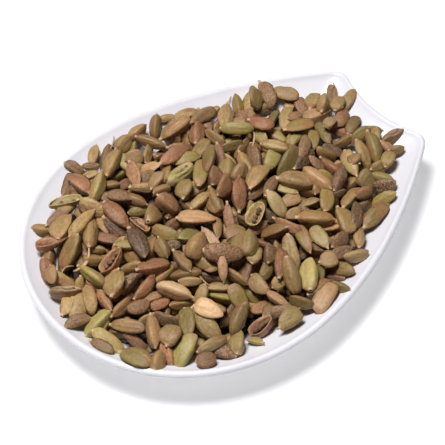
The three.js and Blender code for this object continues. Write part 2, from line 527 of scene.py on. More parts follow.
@dataclass(frozen=True)
class RimOutline:
    """The rim seen from above: a round end, two flanks that draw in, and a hollowed end."""

    half_width: float = 76.2
    widest_x: float = -17.1
    round_end: float = 82.75
    round_power: float = 2.09
    taper_length: float = 153.1
    taper_power: float = 1.79
    notch_end_x: float = 101.3
    notch_depth: float = 6.5
    corner_setback: float = 5.1
    notch_steps: int = 12
    corner_steps: int = 10
    flank_steps: int = 44
    round_steps: int = 48

    def flank(self, x: float) -> Vector:
        """A point of the flank."""
        run = (x - self.widest_x) / self.taper_length
        return Vector((x, self.half_width * (1 - max(run, 0.0) ** self.taper_power)))

    def notch(self, y: float) -> Vector:
        """A point of the hollowed end."""
        corner = self.flank(self.notch_end_x).y
        return Vector((self.notch_end_x - self.notch_depth * (1 - (y / corner) ** 2), y))

    def round(self, turn: float) -> Vector:
        """Find a point of the round end.

        Args:
            turn: from 0 at the widest place to a quarter circle at the very end.

        Returns:
            The point.
        """
        across = max(math.cos(turn), 0.0) ** (2 / self.round_power)
        along = math.sin(turn) ** (2 / self.round_power)
        return Vector((self.widest_x - self.round_end * along, self.half_width * across))

    def points(self) -> list[Vector]:
        """Run round the whole outline, anticlockwise from the middle of the hollowed end.

        Returns:
            Its points.
        """
        corner = self.flank(self.notch_end_x)
        start = self.notch(corner.y - self.corner_setback)
        end = self.flank(self.notch_end_x - self.corner_setback)
        half = [self.notch(start.y * step / self.notch_steps) for step in range(self.notch_steps)]
        for step in range(self.corner_steps):
            share = step / self.corner_steps
            half.append(start.lerp(corner, share).lerp(corner.lerp(end, share), share))
        for step in range(self.flank_steps):
            half.append(self.flank(end.x + (self.widest_x - end.x) * step / self.flank_steps))
        half += [self.round(math.pi / 2 * step / self.round_steps) for step in range(self.round_steps + 1)]
        return half + [Vector((point.x, -point.y)) for point in half[-2:0:-1]]


@dataclass
class GlazedDish:
    """The dish: foot ring, flared wall, rolled lip and flat oval floor."""

    rim: RimOutline = field(default_factory=RimOutline)
    rim_height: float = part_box("dish")[1].z / MM
    floor_height: float = 5.0
    wall_thickness: float = 3.0
    wall_power: float = 1.5
    lip_width: float = 3.6
    lip_crest: float = 1.7
    lip_drop: float = 1.1
    lip_thickness: float = 3.4
    floor_x: float = -9.0
    floor_half_length: float = 56.0
    floor_half_width: float = 38.0
    foot_height: float = 1.6
    foot_scales: tuple = (0.0, 0.35, 0.7, 0.96, 0.98)
    foot_section: tuple = ((0.99, 1.3), (1.0, 0.35), (1.008, 0.0), (1.075, 0.0), (1.084, 0.3), (1.1, 2.5))
    under_reach: tuple = (0.06, 0.72)
    under_steps: int = 11
    wall_steps: int = 26
    floor_scales: tuple = (0.9, 0.6, 0.3, 0.0)
    sole_height: float = 0.2

    def __post_init__(self) -> None:
        """Work out the two ends of every spoke, on the rim and on the floor's oval."""
        self.outer = self.rim.points()
        self.inner = [self._floor_point(point) for point in self.outer]

    def _floor_point(self, rim_point: Vector) -> Vector:
        """Find the point of the floor's oval on the same ray as a point of the rim.

        Args:
            rim_point: the point of the rim.

        Returns:
            The point of the oval.
        """
        ray = Vector((rim_point.x - self.floor_x, rim_point.y))
        reach = 1 / math.hypot(ray.x / self.floor_half_length, ray.y / self.floor_half_width)
        return Vector((self.floor_x + ray.x * reach, ray.y * reach))

    def _beside_rim(self, spoke: int, inset: float) -> Vector:
        """Place on a spoke at a distance in from the rim."""
        rim, floor = self.outer[spoke], self.inner[spoke]
        return rim.lerp(floor, inset / (rim - floor).length)

    def _on_wall(self, spoke: int, u: float) -> Vector:
        """Find a place along a spoke between the lip and the floor.

        Args:
            spoke: the spoke's number.
            u: 0 at the lip's inner edge and 1 at the floor's oval.

        Returns:
            The place in plan.
        """
        rim, floor = self.outer[spoke], self.inner[spoke]
        lip = self.lip_width / (rim - floor).length
        return rim.lerp(floor, lip + (1 - lip) * u)

    def _on_floor(self, spoke: int, scale: float) -> Vector:
        """Place on a spoke inside the floor's oval."""
        floor = self.inner[spoke]
        return Vector((self.floor_x + (floor.x - self.floor_x) * scale, floor.y * scale))

    def wall_height(self, u: float) -> float:
        """Height of the inner face of the wall."""
        fall = self.rim_height - self.lip_drop - self.floor_height
        return self.floor_height + fall * (1 - u) ** self.wall_power

    def _underside_height(self, spoke: int, u: float) -> float:
        """Height of the outer face of the wall, a wall's thickness under the inner face.

        Args:
            spoke: the spoke's number.
            u: the share of the way from the lip to the floor.

        Returns:
            The height.
        """
        span = (self.outer[spoke] - self.inner[spoke]).length - self.lip_width
        fall = (self.rim_height - self.lip_drop - self.floor_height) * self.wall_power
        return self.wall_height(u) - self.wall_thickness * math.hypot(1, fall * math.sqrt(1 - u) / span)

    def _lip(self) -> list[tuple[float, float]]:
        """Draw the rolled lip's section, from the outer wall over to the inner one.

        Returns:
            Inset and height of its points.
        """
        half = self.lip_thickness / 2
        tuck = 0.75
        tuck_drop = 0.8 * half
        section = []
        for step in range(1, 7):
            turn = math.pi / 2 * (1 - step / 6)
            inset = tuck * (1 - math.cos(turn))
            section.append((inset, self.rim_height - half - tuck_drop * math.sin(turn)))
        for step in range(1, 8):
            turn = math.pi / 2 * step / 7
            inset = self.lip_crest * (1 - math.cos(turn))
            section.append((inset, self.rim_height - half + half * math.sin(turn)))
        for step in range(1, 6):
            share = step / 6
            inset = self.lip_crest + (self.lip_width - self.lip_crest) * share
            section.append((inset, self.rim_height - self.lip_drop * share ** 1.7))
        return section

    def _rings(self) -> list[Callable[[int], tuple[Vector, float]]]:
        """Order the rings of the section, from the middle of the underside to the middle of the floor.

        Returns:
            For each ring, what gives the place in plan and the height on a spoke.
        """
        rings: list[Callable[[int], tuple[Vector, float]]] = []

        def floor_ring(scale: float, height: float) -> None:
            """Add a ring inside or close to the floor's oval."""
            rings.append(lambda spoke: (self._on_floor(spoke, scale), height))

        def wall_ring(u: float, outside: bool) -> None:
            """Add a ring on a face of the wall.

            Args:
                u: the share of the way from the lip to the floor.
                outside: whether it is the outer face.
            """
            if outside:
                rings.append(lambda spoke: (self._on_wall(spoke, u), self._underside_height(spoke, u)))
            else:
                rings.append(lambda spoke: (self._on_wall(spoke, u), self.wall_height(u)))

        def lip_ring(inset: float, height: float) -> None:
            """Add a ring on the lip."""
            rings.append(lambda spoke: (self._beside_rim(spoke, inset), height))

        for scale in self.foot_scales:
            floor_ring(scale, self.foot_height)
        for scale, height in self.foot_section:
            floor_ring(scale, height)
        top, run = self.under_reach
        for step in range(self.under_steps, -1, -1):
            wall_ring(top + run * step / self.under_steps, True)
        for inset, height in self._lip():
            lip_ring(inset, height)
        for step in range(self.wall_steps + 1):
            wall_ring(step / self.wall_steps, False)
        for scale in self.floor_scales:
            floor_ring(scale, self.floor_height)
        return rings

    def build(self) -> bpy.types.Object:
        """Sweep the section round the outline, ring by ring.

        Returns:
            The dish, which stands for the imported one.
        """
        made = bmesh.new()
        spoke_of = made.verts.layers.int.new("spoke")
        rings = self._rings()

        def put(vert: bmesh.types.BMVert, number: int) -> None:
            """Put a vertex of a ring on its spoke."""
            flat, height = rings[number](vert[spoke_of])
            vert.co = Vector((flat.x, flat.y, height)) * MM

        sweep(made, spoke_of, len(self.outer), len(rings), put)
        bmesh.ops.recalc_face_normals(made, faces=made.faces)
        for face in made.faces:
            middle = face.calc_center_median().z / MM
            face.material_index = 1 if middle < self.sole_height else 0
        finishes = (GlazeFinish().material(), BisqueFinish().material())
        piece = add_piece("glazed_dish", mesh_from(made, "glazed_dish"), finishes)
        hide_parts("dish")
        return piece


# --------------------------------------------------------------------------- pod forms


@dataclass(frozen=True)
class Batch:
    """A kind of pod, made as one piece, with how its shapes vary."""

    title: str
    shapes: int
    girth_share: float = 0.465
    angular: tuple[float, float] = (0.35, 0.9)
    ridges: tuple[float, float] = (0.01, 0.045)
    dents: tuple[float, float] = (0.09, 0.18)
    bends: float = 0.03
    stalks: tuple[float, ...] = (0.0, 0.4, 0.8, 1.3)
    sides: int = 24
    steps: int = 12
    slit: float = 0.0
    halved: bool = False
    on_top: float = 0.0


class Kind(Enum):
    """The kinds of pod and scrap in the heap."""

    GREEN = Batch("green_pods", 12, ridges=(0.0, 0.02))
    STRAW = Batch("straw_pods", 12, dents=(0.09, 0.17))
    BROWN = Batch("brown_pods", 10, girth_share=0.44, dents=(0.12, 0.2), bends=0.04)
    SCABBY = Batch("scabby_pods", 5, girth_share=0.52, dents=(0.14, 0.22), bends=0.05)
    BLEACHED = Batch("bleached_pods", 5, on_top=20, girth_share=0.44, dents=(0.08, 0.14))
    STUBBY = Batch("stubby_pods", 8, on_top=9, girth_share=0.7, angular=(0.6, 0.95))
    SPLIT = Batch("split_pods", 3, on_top=20, sides=32, steps=14, slit=0.9)
    SHELL = Batch("half_shells", 4, on_top=20, girth_share=0.52, stalks=(0.0,), halved=True,
                  dents=(0.1, 0.18), bends=0.04)
    STALK = Batch("dried_stalks", 4, on_top=30, girth_share=0.11, angular=(0.0, 0.1), bends=0.16,
                  stalks=(0.0,), sides=8)
    SEED = Batch("seeds", 3, girth_share=0.85, dents=(0.1, 0.2), stalks=(0.0,), sides=8, steps=6)
    LOWER = Batch("lower_pods", 6, stalks=(0.0,), sides=9, steps=6)


@dataclass(frozen=True)
class Hue:
    """What colours a pod: its ground tone, the tone of its blotches, and how it is marked."""

    kind: Kind
    ground: tuple[float, float, float]
    blotch: tuple[float, float, float]
    scabbed: float = 0.0
    streaked: float = 0.6
    blotched: float = 0.5


class Look(Enum):
    """The looks of the pods in the heap."""

    BRIGHT = Hue(Kind.GREEN, (169, 151, 88), (178, 149, 102), streaked=0.3)
    GREEN = Hue(Kind.GREEN, (148, 127, 68), (158, 119, 75), streaked=0.4)
    OLIVE = Hue(Kind.GREEN, (130, 111, 60), (143, 107, 68), streaked=0.5)
    BRINDLED = Hue(Kind.GREEN, (150, 122, 72), (146, 102, 68), streaked=1.0, scabbed=0.5, blotched=0.9)
    PALE = Hue(Kind.GREEN, (168, 147, 91), (175, 141, 97), streaked=0.3)
    STRAW = Hue(Kind.STRAW, (174, 145, 93), (154, 117, 79), streaked=0.7)
    TAN = Hue(Kind.STRAW, (162, 131, 82), (178, 137, 91), streaked=0.7, scabbed=0.15)
    PEACH = Hue(Kind.BLEACHED, (214, 177, 132), (205, 164, 119), streaked=0.05, blotched=0.2)
    CREAM = Hue(Kind.BLEACHED, (188, 149, 108), (178, 134, 94), streaked=0.3)
    FADED = Hue(Kind.BLEACHED, (166, 124, 90), (146, 102, 72), streaked=0.5)
    PINK = Hue(Kind.BROWN, (170, 122, 86), (149, 100, 68), streaked=0.6, scabbed=0.3)
    BROWN = Hue(Kind.BROWN, (124, 91, 58), (142, 107, 70), streaked=0.8, scabbed=0.3)
    RUST = Hue(Kind.BROWN, (160, 106, 70), (138, 89, 57), streaked=0.6, scabbed=0.25)
    DARK = Hue(Kind.BROWN, (92, 66, 45), (111, 80, 54), streaked=0.7, scabbed=0.5)
    SCAB = Hue(Kind.SCABBY, (120, 83, 57), (136, 96, 67), scabbed=1.0)
    STUB = Hue(Kind.STUBBY, (155, 129, 79), (167, 128, 89), streaked=0.5)
    STUB_BROWN = Hue(Kind.STUBBY, (139, 98, 64), (155, 112, 74), streaked=0.6, scabbed=0.3)
    OPEN = Hue(Kind.SPLIT, (150, 117, 78), (137, 99, 67), streaked=0.6)
    OPEN_GREEN = Hue(Kind.SPLIT, (166, 152, 92), (176, 150, 104), streaked=0.3)
    SHELL = Hue(Kind.SHELL, (194, 136, 92), (174, 114, 76), streaked=0.5, scabbed=0.3)
    SHELL_GREEN = Hue(Kind.SHELL, (166, 149, 88), (176, 146, 98), streaked=0.4, scabbed=0.3)
    STALK = Hue(Kind.STALK, (198, 162, 116), (172, 134, 88), streaked=0.5)
    SEED = Hue(Kind.SEED, (146, 112, 84), (116, 86, 62), streaked=0.2, scabbed=0.5)


# The directions of a pod's three seams round its axis, and how many ribs it has.
SEAMS = (math.pi / 3, math.pi, 5 * math.pi / 3)
RIBS = 8


@dataclass(frozen=True)
class Ring:
    """One ring of a swept form, in millimetres along and out from the pod's axis."""

    along: float
    radius: float
    pale: float = 0.0
    # How dark the husk is here inside a hole or slit: its brown inside and painted shade.
    hollow_tone_and_shade: float = 0.0
    body: bool = False


def turn_between(turn: float, mark: float) -> float:
    """The smaller angle between two directions round the axis."""
    return abs((turn - mark + math.pi) % math.tau - math.pi)


@dataclass(frozen=True)
class PodForm:
    """One shape of pod, its axis along X and its middle at the origin, in millimetres."""

    length: float = 13.5
    girth: float = 7.2
    base_round: float = 0.45
    tip_point: float = 0.58
    angular: float = 0.5
    crispness: float = 8.0
    facet_turns: tuple[float, float, float] = (0.0, 0.0, 0.0)
    keel: float = 0.02
    groove: float = 0.03
    ridges: float = 0.012
    dents: float = 0.05
    creases: float = 0.03
    bend: float = 0.0
    flatness: float = 0.92
    stalk: float = 1.0
    beak: float = 0.8
    slit: float = 0.0
    halved: bool = False
    sides: int = 24
    steps: int = 12
    seed: int = 0
    pale_end: float = 0.05
    facet_mean: float = 1.36
    seam_spread: float = 0.16
    vein_spread: float = 0.2
    dent_waves: tuple = (0.17, 0.8)
    dimple_waves: tuple = (0.5, 2.4)
    gape_from: float = 0.3
    gape_width: tuple = (0.15, 0.65)
    cut_height: float = 0.1
    cut_slope: tuple = (0.06, 0.15, 1)
    husk_thickness: float = 0.4

    def profile(self, share: float) -> float:
        """Work out how thick the pod is at a share of its length.

        Args:
            share: 0 at the base and 1 at the tip.

        Returns:
            The thickness as a share of the greatest one.
        """
        crest = self.base_round / (self.base_round + self.tip_point)
        full = crest ** self.base_round * (1 - crest) ** self.tip_point
        return share ** self.base_round * (1 - share) ** self.tip_point / full

    def _rings(self) -> list[Ring]:
        """Order the rings from the bottom of the stalk's hole to the point of the beak.

        Returns:
            The rings.
        """
        rings = []
        if self.stalk > 0:
            rings += [Ring(0.3, 0.0, hollow_tone_and_shade=1), Ring(0.0, 0.2, hollow_tone_and_shade=1), Ring(-self.stalk, 0.3, 0.5, 0.6)]
            rings += [Ring(-self.stalk, 0.8, 1.0), Ring(-self.stalk * 0.3, 0.7, 0.8)]
        else:
            rings.append(Ring(0.0, 0.0, 0.1))
        for step in range(1, self.steps):
            share = (1 - math.cos(math.pi * step / self.steps)) / 2
            pale = 0.35 * max(0.0, 1 - share / self.pale_end)
            pale += 0.3 * max(0.0, 1 - (1 - share) / self.pale_end)
            rings.append(Ring(share * self.length, self.girth / 2 * self.profile(share), pale, body=True))
        if self.beak > 0:
            rings.append(Ring(self.length + self.beak * 0.5, 0.42, 0.5))
            rings.append(Ring(self.length + self.beak, 0.26, 0.8))
        rings.append(Ring(self.length + self.beak, 0.0, 0.4))
        return rings

    def _facets(self, turn: float) -> float:
        """Reach of a three-sided section with rounded corners, about 1 on average."""
        faced = [max(0.0, math.cos(turn - mark - shift)) for mark, shift in zip(SEAMS, self.facet_turns)]
        return sum(part ** self.crispness for part in faced) ** (-1 / self.crispness) / self.facet_mean

    def _near_marks(self, turn: float, shift: float, spread: float) -> float:
        """How near a direction is to a line that follows each seam at an angle."""
        return sum(math.exp(-(turn_between(turn, mark + shift) / spread) ** 2) for mark in SEAMS)

    def _outward(self, along: float, turn: float) -> tuple[float, float, float]:
        """Work out the husk's relief at a place.

        Args:
            along: distance from the base.
            turn: direction round the axis.

        Returns:
            How far the husk stands out as a factor, how deep the seam is and how far it gapes.
        """
        share = min(max(along / self.length, 0.0), 1.0)
        fade = math.sin(math.pi * share) ** 0.6
        seam = self._near_marks(turn, 0.0, self.seam_spread) * fade
        vein = self._near_marks(turn, math.pi, self.vein_spread) * fade
        factor = 1 + self.angular * (self._facets(turn) - 1) - self.groove * seam + self.keel * vein
        factor += self.ridges * math.cos(RIBS * turn) * fade
        # The seed takes every form to another part of the noise.
        across, up = math.cos(turn), math.sin(turn)
        run, girdle = self.dent_waves
        broad = Vector((along * run + self.seed * 7.3, across * girdle, up * girdle + self.seed))
        run, girdle = self.dimple_waves
        close = Vector((along * run + self.seed * 3.1, across * girdle, up * girdle))
        factor += self.dents * (noise.noise(broad) + 0.6 * noise.noise(close)) * (0.35 + 0.65 * fade)
        factor -= self.creases * max(0.0, 1 - 7 * abs(noise.noise(broad * 1.7))) * fade
        gape = 0.0
        if self.slit > 0:
            open_share = min(max((share - self.gape_from) / (1 - self.gape_from), 0.0), 1.0)
            width = self.gape_width[0] + self.gape_width[1] * math.sin(math.pi * open_share)
            away = turn_between(turn, math.pi / 2) / width
            gape = max(0.0, 1 - away ** 4) * self.slit * fade
            factor += 0.1 * math.exp(-((away - 1.15) / 0.25) ** 2) * fade - 0.6 * gape
        return factor, seam, gape

    def _place(self, ring: Ring, turn: float) -> tuple[Vector, tuple[float, float, float, float]]:
        """Work out where a vertex goes and how it is marked.

        Args:
            ring: its ring.
            turn: its direction round the axis.

        Returns:
            Its place, and how pale and seamed it is, how much painted shade darkens it inside a hole or
            slit, and how near to an end it is.
        """
        factor, seam, gape = self._outward(ring.along, turn) if ring.body else (1.0, 0.0, 0.0)
        reach = ring.radius * factor
        share = min(max(ring.along / self.length, 0.0), 1.0)
        sway = self.bend * self.length * (1 - (2 * share - 1) ** 2)
        across = reach * math.cos(turn) + sway
        spot = Vector((ring.along - self.length / 2, across, reach * math.sin(turn) * self.flatness))
        lip = min(1.0, gape * (1 - gape) * 3.2)
        pale = min(1.0, ring.pale + lip * 0.7)
        # The deeper into an open slit, the more painted shade.
        hollow_tone_and_shade = max(ring.hollow_tone_and_shade, gape ** 2 * 0.9)
        return spot, (pale, seam * 0.5, hollow_tone_and_shade, abs(2 * share - 1) ** 3)

    def build(self, name: str) -> bpy.types.Mesh:
        """Sweep the form.

        Args:
            name: the mesh's name.

        Returns:
            A closed mesh in millimetres that carries the pod's marks and a wrapped map.
        """
        made = bmesh.new()
        side_of = made.verts.layers.int.new("side")
        row_of = made.verts.layers.int.new("row")
        place = made.verts.layers.float_vector.new("pod_place")
        marks = made.verts.layers.float_color.new("form_marks")
        rings = self._rings()

        def put(vert: bmesh.types.BMVert, number: int) -> None:
            """Put a vertex of a ring in its place and mark it.

            Args:
                vert: the vertex.
                number: its ring's number.
            """
            vert.co, vert[marks] = self._place(rings[number], math.tau * vert[side_of] / self.sides)
            vert[place] = vert.co
            vert[row_of] = number

        sweep(made, side_of, self.sides, len(rings), put)
        self._wrap(made, side_of, row_of, len(rings))
        bmesh.ops.recalc_face_normals(made, faces=made.faces)
        if self.halved:
            self._halve(made, marks)
        return mesh_from(made, name)

    def _halve(self, made: bmesh.types.BMesh, marks: object) -> None:
        """Cut the upper part off and leave an open husk with a pale edge and a lining painted darker with
        depth, as shade.

        Args:
            made: the whole pod, which is changed.
            marks: the layer of its marks.
        """
        everything = list(made.verts) + list(made.edges) + list(made.faces)
        bmesh.ops.bisect_plane(made, geom=everything, dist=0.0001,
                               plane_co=(0, 0, self.girth * self.cut_height),
                               plane_no=self.cut_slope, clear_outer=True)
        outer = set(made.verts)
        bmesh.ops.solidify(made, geom=list(made.faces), thickness=self.husk_thickness)
        bmesh.ops.recalc_face_normals(made, faces=made.faces)
        made.normal_update()
        for vert in made.verts:
            inward = vert.normal.dot(Vector((0, vert.co.y, vert.co.z - self.girth * 0.08))) < 0
            if inward or vert not in outer:
                depth = max(0.0, -vert.co.z / self.girth)
                # The lining gets darker the deeper it lies: painted shade inside the shell.
                lining = (0.0, 0.15, min(0.4, 0.7 * depth), 1.0)
                edge = (0.5, 0.0, 0.0, 1.0)
                vert[marks] = lining if depth > 0.02 else edge

    def _wrap(self, made: bmesh.types.BMesh, side_of: object, row_of: object, rows: int) -> None:
        """Lay the husk out flat: round it across the map, along it up the map.

        Args:
            made: the pod.
            side_of: the layer that numbers the vertices of each ring.
            row_of: the layer that numbers the rings.
            rows: how many rings there are.
        """
        chart = made.loops.layers.uv.new("OFBake")
        for face in made.faces:
            body = [loop.vert[side_of] for loop in face.loops if 0 < loop.vert[row_of] < rows - 1]
            wraps = max(body) - min(body) > self.sides / 2
            middle = sum(side + self.sides * (wraps and side < self.sides / 2) for side in body) / len(body)
            for loop in face.loops:
                side = loop.vert[side_of] + self.sides * (wraps and loop.vert[side_of] < self.sides / 2)
                is_pole = not 0 < loop.vert[row_of] < rows - 1
                across = middle if is_pole else side
                loop[chart].uv = (across / self.sides, loop.vert[row_of] / (rows - 1))


def forms_for(kind: Kind) -> list[PodForm]:
    """Draw the different shapes that pods of a kind come in.

    Args:
        kind: the kind.

    Returns:
        Its forms.
    """
    batch = kind.value
    dice = np.random.default_rng(sum(map(ord, batch.title)))
    forms = []
    for number in range(batch.shapes):
        slender = kind is Kind.STALK
        forms.append(PodForm(
            girth=PodForm.length * batch.girth_share,
            base_round=0.2 if slender else float(dice.uniform(0.28, 0.48)),
            tip_point=0.4 if slender else float(dice.uniform(0.3, 0.58)),
            angular=float(dice.uniform(*batch.angular)),
            facet_turns=tuple(float(shift) for shift in dice.normal(0, 0.16, 3)),
            keel=float(dice.uniform(0.0, 0.035)),
            groove=float(dice.uniform(0.0, 0.05)),
            ridges=float(dice.uniform(*batch.ridges)),
            dents=float(dice.uniform(*batch.dents)),
            creases=float(dice.uniform(0.0, 0.07)),
            bend=float(dice.normal(0, batch.bends)),
            flatness=float(dice.uniform(0.8, 0.98)),
            stalk=float(dice.choice(batch.stalks)),
            beak=0.0 if len(batch.stalks) == 1 else float(dice.choice([0.0, 0.6, 1.1])),
            slit=batch.slit,
            halved=batch.halved,
            sides=batch.sides,
            steps=batch.steps,
            seed=number * 5 + len(batch.title),
        ))
    return forms


# --------------------------------------------------------------------------- heap


@dataclass
class Pod:
    """One pod at rest, in millimetres."""

    kind: Kind
    look: Look
    centre: np.ndarray
    axis: np.ndarray
    length: float
    girth: float
    roll: float


@dataclass
class Rest:
    """A place where a pod would come to rest."""

    centre: np.ndarray
    axis: np.ndarray
    balls: np.ndarray

    def top(self) -> float:
        """Height of the pod's back."""
        return float((self.balls[:, 2] + self.balls[:, 3]).max())


SPINE = np.array([0.07, 0.2, 0.35, 0.5, 0.65, 0.8, 0.93])
STOUTNESS = np.array([PodForm().profile(share) for share in SPINE]) * 0.95


# Stands for no surface at all in maps of height and of nearness.
NOWHERE = -1000.0


class Pile:
    """The height of all that has come to rest so far, on a square grid in plan."""

    cell = 0.75
    half_length = 108.0
    half_width = 84.0
    reach = 6
    drop_from = 200.0
    empty = -60.0

    def __init__(self, grounds: Sequence[BVHTree]) -> None:
        """Sample the highest ground under every cell.

        Args:
            grounds: search trees of the surfaces that pods can rest on, in metres.
        """
        self.xs = np.arange(-self.half_length, self.half_length, self.cell).astype(np.float32)
        self.ys = np.arange(-self.half_width, self.half_width, self.cell).astype(np.float32)
        self.height = np.full((len(self.xs), len(self.ys)), self.empty, np.float32)
        down = Vector((0, 0, -1))
        for i, x in enumerate(self.xs):
            for j, y in enumerate(self.ys):
                start = Vector((x * MM, y * MM, self.drop_from * MM))
                hits = [hit.z / MM for hit in (tree.ray_cast(start, down)[0] for tree in grounds) if hit]
                self.height[i, j] = max(hits, default=self.empty)
        self.window = np.arange(-self.reach, self.reach + 1)

    def _under(self, balls: np.ndarray) -> tuple[np.ndarray, np.ndarray]:
        """Find the cells around each ball.

        Args:
            balls: x, y, z and radius of each ball.

        Returns:
            The cells' numbers, and how far the ball stands over its middle in each.
        """
        i = np.rint((balls[..., 0] + self.half_length) / self.cell).astype(int)[..., None] + self.window
        j = np.rint((balls[..., 1] + self.half_width) / self.cell).astype(int)[..., None] + self.window
        i = np.clip(i, 0, len(self.xs) - 1)
        j = np.clip(j, 0, len(self.ys) - 1)
        across = (self.xs[i] - balls[..., 0, None]) ** 2
        along = (self.ys[j] - balls[..., 1, None]) ** 2
        radius = np.maximum(balls[..., 3], self.cell)[..., None, None]
        left = radius ** 2 - across[..., :, None] - along[..., None, :]
        rise = np.where(left > 0, np.sqrt(np.maximum(left, 0)), NOWHERE)
        return i[..., :, None] * len(self.ys) + j[..., None, :], rise

    def lift(self, balls: np.ndarray) -> np.ndarray:
        """How far up each group of balls must move to rest on the pile.

        Args:
            balls: x, y, z and radius of the balls of every group.

        Returns:
            One height for each group.
        """
        cells, rise = self._under(balls.astype(np.float32))
        needed = self.height.ravel()[cells] + rise
        return (needed.max(axis=(-1, -2)) - balls[..., 2]).max(axis=-1)

    def add(self, balls: np.ndarray) -> None:
        """Raise the pile by a pod at rest.

        Args:
            balls: x, y, z and radius of the pod's balls.
        """
        cells, rise = self._under(balls.astype(np.float32))
        tops = (balls[..., 2, None, None] + rise).astype(np.float32)
        np.maximum.at(self.height.reshape(-1), cells.ravel(), tops.ravel())


@dataclass(frozen=True)
class HeapShape:
    """The dome that the heap's top follows, in millimetres."""

    rim: RimOutline
    rim_height: float
    crown: float = 8.5
    crown_x: float = -4.0
    shoulder: float = -1.0
    inset: float = 9.0
    lean: float = 2.5
    longest_reach: float = 88.0
    fullness: float = 2.2

    def reach(self, x: np.ndarray, y: np.ndarray) -> np.ndarray:
        """Measure how far places are from the crown.

        Args:
            x: where they are along the dish.
            y: where they are across it.

        Returns:
            The distance as a share of the distance to the heap's edge that way.
        """
        points = np.array([tuple(point) for point in self.rim.points()])
        ways = np.arctan2(points[:, 1], points[:, 0] - self.crown_x)
        spans = np.hypot(points[:, 0] - self.crown_x, points[:, 1])
        spans = np.minimum(spans - self.inset + self.lean * np.sin(ways), self.longest_reach)
        order = np.argsort(ways)
        way = np.arctan2(y, x - self.crown_x)
        return np.hypot(x - self.crown_x, y) / np.interp(way, ways[order], spans[order], period=math.tau)

    def top(self, reach: np.ndarray) -> np.ndarray:
        """Height of the dome at a share of the way to the heap's edge."""
        share = np.clip(1 - reach ** self.fullness, 0.0, 1.0)
        return self.rim_height + self.shoulder + (self.crown - self.shoulder) * share


@dataclass(frozen=True)
class Filling:
    """How a round of gap filling goes."""

    looks: dict[Look, float]
    below: float
    most_above: float
    tries: int
    hides: float
    length: float = 13.3
    spread: float = 1.7
    edge: float = 1.0
    kind: Kind | None = None


Rows = dict[Look, list[tuple[float, ...]]]

# Pods that lie half hidden between others, placed from the photograph. A row is one pod: the
# pixel of its middle across and down, its heading in degrees anticlockwise from the picture's
# right, its length in pixels and, where it matters, its girth as a share of its length.
TUCKED: Rows = {
    Look.GREEN: [
        (134, 142, 85, 24), (186, 134, -60, 26), (297, 137, 50, 30), (300, 126, 12, 30), (360, 136, 25, 24),
        (86, 207, 35, 26), (63, 279, -20, 26), (220, 296, -12, 30), (165, 274, 40, 24), (326, 198, 85, 24),
    ],
    Look.OLIVE: [
        (111, 198, -5, 28), (96, 204, -30, 24), (242, 149, 55, 24), (231, 146, 15, 26), (371, 130, 0, 22),
        (134, 256, -40, 22), (140, 210, 15, 24), (186, 274, 0, 32), (152, 297, 15, 24), (191, 208, -30, 22),
        (147, 236, 20, 20), (108, 320, 60, 24), (122, 333, 0, 26), (293, 287, -55, 26), (320, 276, 85, 24),
        (276, 312, 20, 26), (333, 208, 60, 22), (274, 118, 60, 18), (319, 287, 32, 26), (257, 192, 40, 24),
    ],
    Look.STRAW: [
        (79, 307, 60, 26), (67, 303, 70, 24), (49, 257, 80, 22), (185, 114, 22, 30), (309, 161, -60, 20),
        (59, 232, 80, 22), (66, 212, 40, 26),
    ],
    Look.TAN: [
        (167, 119, 10, 22), (217, 126, 60, 22), (290, 103, 70, 20), (295, 170, 15, 24), (291, 202, 20, 22),
        (102, 224, -60, 22), (213, 209, -20, 24), (207, 332, -10, 26), (348, 246, 10, 22),
        (332, 245, -45, 22),
    ],
    Look.BROWN: [
        (107, 158, 75, 26), (143, 180, 30, 28), (141, 191, -15, 26), (190, 126, 10, 24),
        (205, 120, -60, 24),
        (247, 183, 60, 24), (304, 191, -10, 26), (364, 202, 35, 24), (230, 313, 50, 26), (120, 297, 10, 26),
        (155, 346, 45, 22), (175, 338, 20, 20), (340, 252, 20, 24), (316, 249, -10, 26), (284, 309, 5, 28),
        (168, 318, -15, 28), (67, 185, 70, 24), (249, 269, 75, 24),
    ],
    Look.DARK: [
        (304, 159, 45, 26), (336, 194, 20, 22), (268, 214, -20, 24), (210, 277, -15, 28),
        (115, 227, -30, 26),
    ],
    Look.PINK: [
        (218, 160, -85, 26), (340, 133, -20, 26), (256, 228, 30, 24), (45, 270, -75, 22), (56, 242, 25, 24),
    ],
}
